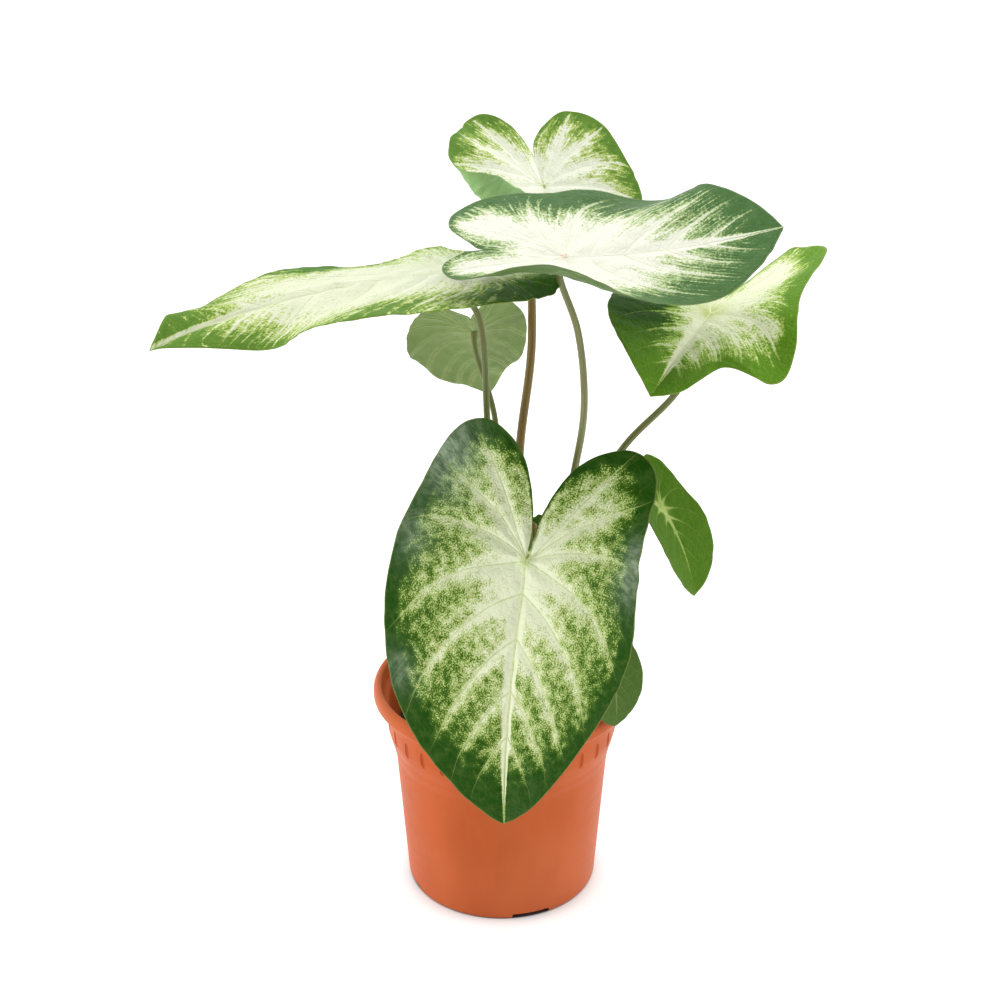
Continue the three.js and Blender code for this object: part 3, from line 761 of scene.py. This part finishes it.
def upper_material(name, marking):
    """The upper side: white along the veins, broken up by grains and streaks, green at the margin."""
    look = Look(f"{name}_upper", IOR=1.45)
    flat = look.vector("flat")
    order, gap, along = look.parts(look.vector("veins"))
    strength, reach, midrib = look.parts(look.vector("pull"))
    depth, bloom, _ = look.parts(look.vector("tone"))
    off_midrib, to_vein = vein_distances(look, flat, order, gap)
    grain = look.noise(flat, marking.grain_scale, 3, 0.65)
    clump = look.noise(flat, CLUMP_SCALE)
    flow = look.node("CombineXYZ", {0: look.times(order, FLOW_SPACING), 1: along})
    streak = look.noise(look.scaled(flow, STREAK_SCALE), 1, 3, 0.6)

    past_vein = look.times(look.math("FRACT", order), gap)
    short_of_vein = look.math("SUBTRACT", gap, past_vein)
    ahead = look.math("DIVIDE", past_vein, reach)
    behind = look.math("DIVIDE", short_of_vein, look.times(reach, marking.behind))
    by_lateral = look.times(look.remap(look.math("MINIMUM", ahead, behind), 0, 1, 1, 0), strength)
    by_midrib = look.remap(look.math("DIVIDE", off_midrib, midrib), 0.2, 1, 1.8, 0)
    between = look.remap(look.math("PINGPONG", order, 0.5), 0.1, 0.5, 0, -marking.dip)
    finest = look.math("PINGPONG", look.times(order, FINEST_VEINS), 0.5)
    finest = look.remap(finest, 0, 0.3, marking.fine, 0)
    finest = look.times(finest, look.remap(streak, 0.35, 0.6))
    white = look.value("white")
    for part in (by_lateral, between, by_midrib, finest):
        white = look.plus(white, part)

    softened = look.broken(white, clump, marking.clump)
    rough = look.broken(look.broken(white, grain, marking.grain), clump, marking.clump)
    rough = look.broken(rough, streak, marking.streak)
    # depth also holds painted shade where the shadow patches are.
    deep = look.times(look.remap(softened, -0.4, 0.5, 1, 0), depth)
    green = look.mix(deep, marking.green, marking.dark)
    green = look.mix(look.remap(grain, 0.35, 0.65, 0, 0.3), green, shaded(marking.dark, 0.9))
    net = look.remap(look.cells(flat, 0.3), 0, 0.16, 1, 0)
    lit = look.plus(look.remap(clump, 0.4, 0.7, 0, 0.05), look.times(net, 0.02))
    green = look.mix(lit, green, marking.speck)
    colour = look.mix(look.remap(rough, *marking.lighten), green, marking.speck)
    colour = look.mix(look.remap(rough, *marking.whiten), colour, marking.cream)
    groove = look.remap(to_vein, 0.15, 0.7, marking.groove, 0)
    groove = look.times(groove, look.remap(white, -0.4, 0.6, 0.1, 1))
    colour = look.mix(groove, colour, blended(marking.speck, VEIN_GREEN, 0.4))
    colour = look.mix(look.value("spot"), colour, marking.spot)
    # Painted sheen: patches of a grey-green reflection painted into the colour, broken up by streaks; the
    # same patches raise the gloss.
    painted_sheen_breakup = look.remap(look.plus(clump, streak), 0.75, 1.3, 0.15, 1)
    colour = look.mix(look.times(bloom, painted_sheen_breakup), colour, PAINTED_SHEEN)
    # Painted light: a lighter rim along the margin, the thin edge lit through and reflecting the pot.
    margin = look.remap(look.value("edge"), 0.1, 0.7, 0.6, 0)
    colour = look.mix(margin, colour, shaded(marking.speck, 0.6))
    gloss = look.remap(bloom, 0, 1, marking.gloss, 0.8, False) if marking.bloom else marking.gloss
    look.shade("Specular IOR Level", gloss)
    look.shade("Roughness", look.remap(clump, 0.3, 0.7, 0.34, 0.44, False))
    return look.finished(colour, look.math("SUBTRACT", look.times(grain, 0.8), net), 0.00018, 0.7)


def lower_material(name, marking):
    """The underside: dull and paler, with soft pale bands along the veins."""
    look = Look(f"{name}_lower", IOR=1.4, Specular_IOR_Level=0.15)
    flat = look.vector("flat")
    order, gap, _ = look.parts(look.vector("veins"))
    patches = look.noise(flat, 0.2, 3)
    fine = look.noise(flat, 1.5)
    by_vein = look.remap(vein_distances(look, flat, order, gap)[1], 0.3, 2.4, 0.6, 0)
    ghost = look.plus(look.value("white"), look.remap(fine, 0.3, 0.7, -0.15, 0.15))
    ghost = look.remap(ghost, 0.2, 1.3, 0, 0.6)
    colour = look.mix(look.math("MAXIMUM", ghost, by_vein), marking.under, marking.under_pale)
    colour = look.mix(look.remap(patches, 0.4, 0.75, 0, 0.5), colour, shaded(marking.under, 0.85))
    look.shade("Roughness", look.remap(patches, 0.3, 0.7, 0.5, 0.62, False))
    return look.finished(colour, look.remap(look.cells(flat, 0.42), 0, 0.12, 1, 0), 0.0001, 0.6)


def vein_material(name, marking, upper):
    """The veins: pale where the blade is white, thin and green towards the margin."""
    title, roughness = ("upper", 0.42) if upper else ("lower", 0.5)
    look = Look(f"{name}_veins_{title}", IOR=1.42, Roughness=roughness, Specular_IOR_Level=0.15)
    white = look.value("white")
    grain = look.noise(look.vector("flat"), 0.5)
    if upper:
        pale = blended(marking.cream, VEIN_GREEN, 0.6 * marking.groove)
        faint = blended(marking.speck, marking.green, 0.65)
        share, mottle, mottle_colour = look.remap(white, -0.5, 0.6), marking.groove, marking.speck
    else:
        pale, faint = marking.under_pale, marking.under
        share, mottle, mottle_colour = look.remap(white, 0.1, 0.9), 0.3, marking.under
    colour = look.mix(look.remap(grain, 0.3, 0.7, 0, mottle), look.mix(share, faint, pale), mottle_colour)
    return look.finished(colour, grain, 0.0001, 0.4)


def add_veins(mesh, blade, curves):
    """Low ribs on the upper side and stouter ones underneath, tapering outwards."""
    leaf = blade.leaf
    size = (leaf.length / 100) ** 0.7
    steps = np.linspace(0, 1, VEIN_SAMPLES)
    lines = [(np.column_stack([MIDRIB_END * steps, 0 * steps]), LEFT, MIDRIB_WIDTH, 1)]
    for number, curve in enumerate(curves[1:-1]):
        for side in (LEFT, RIGHT):
            lines.append((curve, side, VEIN_WIDTH * (1 - 0.06 * number), VEIN_END))
    for line, side, width, reach in lines:
        x, y = (np.interp(steps * reach, steps, line[:, k]) for k in range(2))
        x = x - leaf.shear * side * y
        y = y * side
        keep = flat_to_wheel(leaf, x, y)[1] < RIB_LIMIT
        x, y, share = x[keep], y[keep], steps[keep]
        points, normals, white = (blade.sample(v, x, y) for v in (blade.points, blade.normals, blade.white))
        normals = unit(normals)
        across = unit(np.cross(normals, unit(np.gradient(points, axis=0))))
        start = smoothstep(-0.02, 0.06, share) if width != MIDRIB_WIDTH else 1.0
        half = width * size * ((1 - share) ** 0.7 + 0.1) * start / 2
        flat = np.column_stack([x, y, 0 * x]) * leaf.length
        for slot, way, wide, high in RIBS:
            surface = points + normals * way * BLADE_THICKNESS / 2
            height = half * high + RIB_LEAST_HEIGHT
            ribs = tube(surface, across * way, normals * way, half * wide, height, RIB_SIDES)
            white_round, flat_round = (np.repeat(v, RIB_SIDES, axis=0) for v in (white, flat))
            mesh.add(*ribs, slot, white=white_round, flat=flat_round)


def make_leaf(name, rng):
    leaf = SimpleNamespace(**LEAF_DEFAULTS | LEAVES[name])
    marking = SimpleNamespace(**MARKING_DEFAULTS | MARKINGS[name])
    curves = vein_curves(leaf)
    blade = Blade(leaf, marking, curves, rng)
    values = blade.values()
    centre, quads = blade.faces
    half = blade.normals * (BLADE_THICKNESS * (1 - 0.35 * blade.s))[:, None] / 2
    mesh = Mesh()
    mesh.add(blade.points + half, [centre, quads], UPPER, **values)
    first = mesh.count
    mesh.add(blade.points - half, [centre[:, ::-1], quads[:, ::-1]], LOWER, **values)
    rim = blade.at(blade.rings, np.arange(blade.spokes))
    following = np.roll(rim, -1)
    mesh.faces.extend(np.column_stack([rim, following, following + first, rim + first]).tolist())
    mesh.slots.extend([UPPER] * blade.spokes)
    add_veins(mesh, blade, curves)
    title = f"caladium_leaf_{name}"
    piece = mesh.build(title, [
        upper_material(title, marking), lower_material(title, marking),
        vein_material(title, marking, True), vein_material(title, marking, False),
    ])
    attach(piece, "root")
    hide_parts(f"leaf_{name}")
    return blade


def centripetal(points, count):
    """A centripetal Catmull-Rom curve through points, at even steps of length."""
    points = np.array(points, float)
    points = np.concatenate([[2 * points[0] - points[1]], points, [2 * points[-1] - points[-2]]])
    line = []
    for i in range(len(points) - 3):
        row = points[i:i + 4]
        knots = np.concatenate([[0], np.cumsum(np.linalg.norm(np.diff(row, axis=0), axis=1) ** 0.5)])
        t = np.linspace(knots[1], knots[2], 40, endpoint=False)[:, None]
        for first, apart in ((0, 1), (0, 2), (1, 1)):
            ends = [(knots[j], knots[j + apart]) for j in range(first, 4 - apart - first)]
            row = [
                (end - t) / (end - start) * row[k] + (t - start) / (end - start) * row[k + 1]
                for k, (start, end) in enumerate(ends)]
        line.append(row[0])
    line = np.concatenate([*line, points[-2:-1]])
    run = np.concatenate([[0], np.cumsum(np.linalg.norm(np.diff(line, axis=0), axis=1))])
    even = np.linspace(0, run[-1], count)
    return np.column_stack([np.interp(even, run, line[:, k]) for k in range(3)]), even


def stalk_material(name, colour):
    look = Look(f"{name}_skin", IOR=1.42, Roughness=0.38)
    skin = look.vector("skin")
    streaks = look.noise(look.scaled(skin, (2.2, 0.05, 1)), 1, 3)
    patches = look.noise(look.scaled(skin, (0.4, 0.05, 1)), 1)
    base = look.mix(look.remap(streaks, 0.35, 0.7), shaded(colour, 0.72), shaded(colour, 1.2))
    base = look.mix(look.remap(patches, 0.45, 0.7, 0, 0.5), base, shaded(STALK_BROWN, 0.9))
    base = look.mix(look.value("flush"), base, STALK_RED if colour is STALK_BROWN else STALK_PALE)
    base = look.mix(look.value("sheath"), base, SHEATH)
    return look.finished(base, streaks, 0.00012, 0.5)


def make_stalk(name, blade):
    """From the tuber up through the soil, a little stouter at the base, flaring into the blade."""
    leaf = blade.leaf
    junction = np.array(leaf.junction, float)
    underside = turn_matrix(leaf)[:, 2]
    x, y = leaf.root
    line, run = centripetal([
        (x, y, TUBER_TOP + SEAT_GAP), (x, y, SOIL_TOP - STRAIGHT_BELOW_SOIL_TOP),
        (x, y, SOIL_TOP + STRAIGHT_ABOVE_SOIL_TOP), *leaf.via,
        junction - underside * NECK_LENGTH, junction - underside * STALK_END,
    ], STALK_STEPS)
    tangents = unit(np.gradient(line, axis=0))
    across = [np.array([1.0, 0, 0])]
    for tangent in tangents:
        side = across[-1] - tangent * (across[-1] @ tangent)
        across.append(side / np.linalg.norm(side))
    across = np.array(across[1:])
    radius = leaf.stalk_radius
    flare = 1 + STALK_FLARE * nearness(run, run[-1], 1.6 * radius)
    widths = radius * (STALK_BASE - STALK_TAPER * run / run[-1]) * flare
    heights = widths * STALK_FLATNESS
    around = np.tile(np.arange(STALK_SIDES) / STALK_SIDES * 2 * np.pi, len(line))
    along = np.repeat(run, STALK_SIDES)
    mesh = Mesh()
    mesh.add(
        *tube(line, across, np.cross(tangents, across), widths, heights, STALK_SIDES),
        skin=np.column_stack([np.cos(around) * SKIN_RADIUS, along, np.sin(around) * SKIN_RADIUS]),
        flush=nearness(along, run[-1], FLUSH_LENGTH),
        sheath=0.6 * nearness(np.maximum(along, SHEATH_LENGTH), SHEATH_LENGTH, SHEATH_FADE))
    title = f"caladium_stalk_{name}"
    colour = STALK_LOOKS.get(name, STALK_OLIVE)
    piece = mesh.build(title, [stalk_material(title, colour)], 60)
    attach(piece, "root")
    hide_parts(f"stalk_{name}")


def rounded(profile, radius):
    """A profile with its corners rounded."""
    points = [np.array(p, float) for p in profile]
    result = []
    for before, corner, after in zip([points[-1], *points], points, [*points[1:], points[0]]):
        back, ahead = before - corner, after - corner
        reach = min(radius, 0.45 * np.linalg.norm(back), 0.45 * np.linalg.norm(ahead))
        if corner[0] == 0 or reach < 0.05:
            result.append(corner)
            continue
        first = corner + back / np.linalg.norm(back) * reach
        last = corner + ahead / np.linalg.norm(ahead) * reach
        for step in np.linspace(0, 1, 5):
            result.append((1 - step) ** 2 * first + 2 * step * (1 - step) * corner + step**2 * last)
    return np.array(result)


def turned(mesh, profile, sides, inwards=False):
    """Turns a profile of [radius, height] that starts and ends on the axis about Z."""
    angles = np.arange(sides) * 2 * np.pi / sides
    radius, height = profile[1:-1, 0, None], profile[1:-1, 1, None]
    rings = np.stack([radius * np.cos(angles), radius * np.sin(angles), height + 0 * angles], axis=-1)
    count = len(radius)
    bottom = count * sides
    spoke = np.arange(sides)
    after = (spoke + 1) % sides
    start = np.column_stack([0 * spoke + bottom, after, spoke])
    end = np.column_stack([0 * spoke + bottom + 1, spoke + bottom - sides, after + bottom - sides])
    groups = [ring_walls(count, sides), start, end]
    if inwards:
        groups = [group[:, ::-1] for group in groups]
    mesh.add([*rings.reshape(-1, 3), (0, 0, profile[0, 1]), (0, 0, profile[-1, 1])], groups)


def around_axis(count, first_angle):
    """The outward and sideways directions at even turns about Z."""
    for i in range(count):
        angle = first_angle + 2 * math.pi * i / count
        x, y = math.cos(angle), math.sin(angle)
        yield np.array([x, y, 0]), np.array([-y, x, 0])


def cutters():
    """Everything that is cut out of the pot: foot notches, drainage holes and the upright recesses."""
    mesh = Mesh()
    wide, narrow = NOTCH.width / 2, NOTCH.width / 2 - NOTCH.taper
    low, high = NOTCH.bottom, NOTCH.height
    section = rounded([(-wide, low), (wide, low), (narrow, high), (-narrow, high)], NOTCH.rounding)
    for outwards, sideways in around_axis(NOTCH.count, math.radians(NOTCH.first_angle)):
        face = section[:, :1] * sideways + section[:, 1:] * UP
        ends = [outwards * reach + face for reach in NOTCH.reach]
        mesh.add(np.concatenate(ends), closed_walls(2, len(section)))

    radius = DRAIN_HOLE.radius
    for outwards, _ in around_axis(DRAIN_HOLE.count, 0):
        line = DRAIN_HOLE.circle * outwards + np.outer(DRAIN_HOLE.ends, UP)
        mesh.add(*tube(line, (1, 0, 0), (0, 1, 0), radius, radius, DRAIN_HOLE.sides))

    turn = np.linspace(-RECESS.ends, RECESS.ends, RECESS.steps) * math.pi / 2
    heights = np.sin(turn) * RECESS.half_height
    reach = RECESS.radius + CUTTER_EXCESS + RECESS.lean * heights
    depth = (RECESS.depth + CUTTER_EXCESS) * np.cos(turn) ** 0.5
    width = RECESS.half_width * np.cos(turn) ** 0.5
    for outwards, sideways in around_axis(RECESS.count, math.pi / RECESS.count - math.pi / 2):
        line = np.outer(reach, outwards) + np.outer(RECESS.middle + heights, UP)
        mesh.add(*tube(line, outwards, sideways, depth, width, RECESS.sides))
    return mesh.build("cutters", [])


def plastic_material():
    look = Look("pot_plastic", IOR=1.49, Specular_IOR_Level=0.15)
    place = look.place()
    flow = look.noise(look.scaled(place, (1, 1, 0.35)), 45, 4, 0.6)
    broad = look.noise(place, 14)
    grain = look.noise(place, 2600)
    scuffs = look.noise(look.scaled(place, (1, 1, 6)), 60, 5, 0.7)
    colour = look.mix(look.remap(flow, 0.3, 0.7), shaded(PLASTIC, 0.93), shaded(PLASTIC, 1.06))
    colour = look.mix(look.remap(broad, 0.35, 0.7, 0, 0.35), colour, (0.60, 0.165, 0.06))
    colour = look.mix(look.remap(scuffs, 0.64, 0.8, 0, 0.25), colour, (0.68, 0.24, 0.12))
    look.shade("Roughness", look.remap(scuffs, 0.3, 0.7, 0.40, 0.52, False))
    return look.finished(colour, look.plus(look.times(grain, 0.5), flow), 0.00008, 0.5)


def make_pot():
    outside = [
        (0, 0), (CENTRE_DISC_RADIUS, 0), (CENTRE_DISC_RADIUS, FLOOR_RECESS), (FOOT_RING_INNER, FLOOR_RECESS),
        (FOOT_RING_INNER, 0), (BASE_RADIUS - 1.1, 0), (BASE_RADIUS, 1.2),
        (49.9, 67.3), (50.8, 70.8), (51.2, 73.2), (52.4, 77), (53.5, 81.4), (53.9, 86.7), (54.4, 94.8),
        (58.6, 96.3), (RIM_RADIUS, 98), (RIM_RADIUS, 101), (59.4, 102.8), (58.2, POT_HEIGHT),
    ]
    inside = [
        (57.2, POT_HEIGHT), (56.3, 103.2), (56, 101.5), (55.2, 97.5), (52.8, 94.6), (52.2, 86.7),
        (51.2, 76.6), (50.2, 75), (48.5, 67.5), (43.6, 5.2), (42.9, FLOOR_TOP), (0, FLOOR_TOP),
    ]
    mesh = Mesh()
    turned(mesh, rounded([*outside, *inside], CORNER_RADIUS), POT_SIDES)
    piece = mesh.build("nursery_pot", [plastic_material()])
    cutter = cutters()
    cut = piece.modifiers.new("cuts", "BOOLEAN")
    cut.operation = "DIFFERENCE"
    cut.solver = "EXACT"
    cut.object = cutter
    graph = bpy.context.evaluated_depsgraph_get()
    cut_mesh = bpy.data.meshes.new_from_object(piece.evaluated_get(graph))
    piece.modifiers.clear()
    piece.data = cut_mesh
    bpy.data.objects.remove(cutter)
    piece.data.set_sharp_from_angle(angle=math.radians(SHARP_ANGLE))
    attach(piece, "root")
    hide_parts("pot")


def earth_material(name, roughness, broad, broad_turn, fine, fine_turn, shades, relief, stretch=(1, 1, 1)):
    """Two shades in broad patches, speckled with a third one by a fine texture, which is also the relief."""
    look = Look(name, Roughness=roughness)
    place = look.place()
    patches = look.noise(look.scaled(place, stretch), *broad)
    grain = look.noise(place, *fine)
    colour = look.mix(look.remap(patches, *broad_turn), *shades[:2])
    colour = look.mix(look.remap(grain, *fine_turn), colour, shades[2])
    return look.finished(colour, grain, *relief)


def soil_height(x, y):
    """The soil's rough surface in mm, over a level that sinks a little towards the pot's wall."""
    share = math.hypot(x, y) / SOIL_REACH
    height = SOIL_LEVEL - SOIL_SLOPE * share**2 - SOIL_DROP * share**4
    for size, rise, octaves in CLODS:
        height += rise * noise.fractal(Vector((x, y, 0)) / size, 1.0, 2.0, octaves)
    return height


def tuber_profile(grow):
    """The tuber's side from its underside to its top, a little larger by grow."""
    low, high = TUBER_TOP - grow, TUBER_TOP + grow
    return np.array([
        (0, low - 26), (12 + grow, low - 24.4), (20 + grow, low - 19.5), (24 + grow, TUBER_TOP - 10.4),
        (23 + grow, high - 3.9), (19 + grow, high), (0, high)])


def icosahedron():
    """The 12 corners of an icosahedron and its 20 faces, which look outwards."""
    golden = (1 + 5**0.5) / 2
    pairs = [(a, b) for a in (-1, 1) for b in (-golden, golden)]
    corners = [(a, b, 0) for a, b in pairs] + [(0, a, b) for a, b in pairs] + [(b, 0, a) for a, b in pairs]
    corners = unit(np.array(corners, float))
    faces = []
    for face in combinations(range(12), 3):
        a, b, c = corners[list(face)]
        if max(np.linalg.norm(p - q) for p, q in ((a, b), (b, c), (c, a))) < 1.2:
            faces.append(face if np.cross(b - a, c - a) @ a > 0 else face[::-1])
    return corners, np.array(faces)


def make_soil(rng):
    mesh = Mesh()
    side = [(0, FLOOR_TOP + SEAT_GAP), (42.6, FLOOR_TOP + SEAT_GAP), (43.2, 5.6), (48.1, 67.3), (49.8, 74.6)]
    top = [(SOIL_RADIUS * (1 - i / SOIL_RINGS), SOIL_TOP - 3) for i in range(SOIL_RINGS + 1)]
    turned(mesh, np.array([*side, *top]), SOIL_SPOKES)
    for point in mesh.points[0]:
        if point[2] > SOIL_TOP - 3.5:
            point[2] = soil_height(*point[:2])
    turned(mesh, tuber_profile(SEAT_GAP), TUBER_SIDES, inwards=True)
    body = mesh.build("potting_soil", [earth_material("potting_soil", **EARTH["potting_soil"])])

    crumbs = Mesh()
    corners, faces = icosahedron()
    for _ in range(CRUMBS):
        radius = CRUMB_REACH * rng.uniform(0, 1) ** 0.5
        x, y = rotated(radius, 0, rng.uniform(0, 2 * np.pi))
        size = LEAST_CRUMB + CRUMB_RANGE * rng.uniform(0, 1) ** 2.5
        stretch = np.array([1.0, rng.uniform(0.6, 1), rng.uniform(0.45, 0.8)])
        turn = rng.uniform(0, 2 * np.pi)
        shape = corners * rng.uniform(0.75, 1.15, (12, 1)) * stretch * size
        shape = np.column_stack([*rotated(shape[:, 0], shape[:, 1], turn), shape[:, 2]])
        crumbs.add(shape + (x, y, soil_height(x, y) + 0.2 * size), [faces])
    loose = crumbs.build("soil_crumbs", [earth_material("soil_crumbs", **EARTH["soil_crumbs"])])
    for piece in (body, loose):
        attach(piece, "root")
        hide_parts("soil")


def finish_tuber():
    """The tuber keeps its solid and gets a papery skin."""
    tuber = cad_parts["tuber"]
    tuber.data.materials.clear()
    tuber.data.materials.append(earth_material("tuber_skin", **EARTH["tuber_skin"]))


def make_camera():
    data = bpy.data.cameras.new("camera")
    data.lens = CAMERA_LENS
    data.sensor_width = SENSOR
    data.clip_start = 0.01
    data.clip_end = 50
    camera = bpy.data.objects.new("camera", data)
    camera.location = Vector(CAMERA_PLACE) * MM
    camera.rotation_euler = (math.radians(90 - CAMERA_PITCH), 0, 0)
    bpy.context.scene.collection.objects.link(camera)
    bpy.context.scene.camera = camera


def softbox(name, place, target, size, power):
    data = bpy.data.lights.new(name, "AREA")
    data.shape = "RECTANGLE"
    data.size, data.size_y = size
    data.energy = power
    light = bpy.data.objects.new(name, data)
    light.location = place
    light.rotation_euler = (Vector(target) - Vector(place)).to_track_quat("-Z", "Y").to_euler()
    bpy.context.scene.collection.objects.link(light)


def make_studio():
    """A white sweep: bright sky behind and above, dimmer on the camera's side, soft boxes at the sides."""
    bpy.context.scene.view_settings.view_transform = "Standard"
    sky = Look("studio", bpy.data.worlds, "Background", Color=(1, 1, 1))
    depth = sky.parts(sky.node("TexCoord", {}, "Generated"))[1]
    sky.shade("Strength", sky.remap(depth, *SKY))
    bpy.context.scene.world = sky.material
    for light in SOFTBOXES:
        softbox(*light)

    mesh = Mesh()
    corners = FLOOR_REACH * np.array([(-1, -1, 0), (1, -1, 0), (1, 1, 0), (-1, 1, 0)])
    mesh.add(corners, [[(0, 1, 2, 3)]])
    look = Look("studio_floor", Roughness=0.8, Emission_Color=(1, 1, 1))
    distance = look.node("VectorMath", {0: look.place()}, "Value", operation="LENGTH")
    # Painted shadow: under the pot the floor is painted dark and has no glow, and the glow fades in round
    # the pot's foot.
    uncovered = look.remap(distance, (BASE_RADIUS - 1.5) * MM, BASE_RADIUS * MM)
    glow = look.remap(distance, *FLOOR_GLOW_FROM, 0, FLOOR_GLOW)
    look.shade("Emission Strength", look.times(uncovered, glow))
    tone = look.mix(look.noise(look.place(), 3), (0.71, 0.71, 0.71), (0.73, 0.73, 0.73))
    look.shade("Base Color", look.mix(uncovered, PAINTED_SHADOW_UNDER_POT, tone))
    mesh.build("studio_floor", [look.material])


def main():
    make_camera()
    make_studio()
    rng = np.random.default_rng(SEED)
    for name in LEAVES:
        make_stalk(name, make_leaf(name, rng))
    make_pot()
    make_soil(rng)
    finish_tuber()


main()
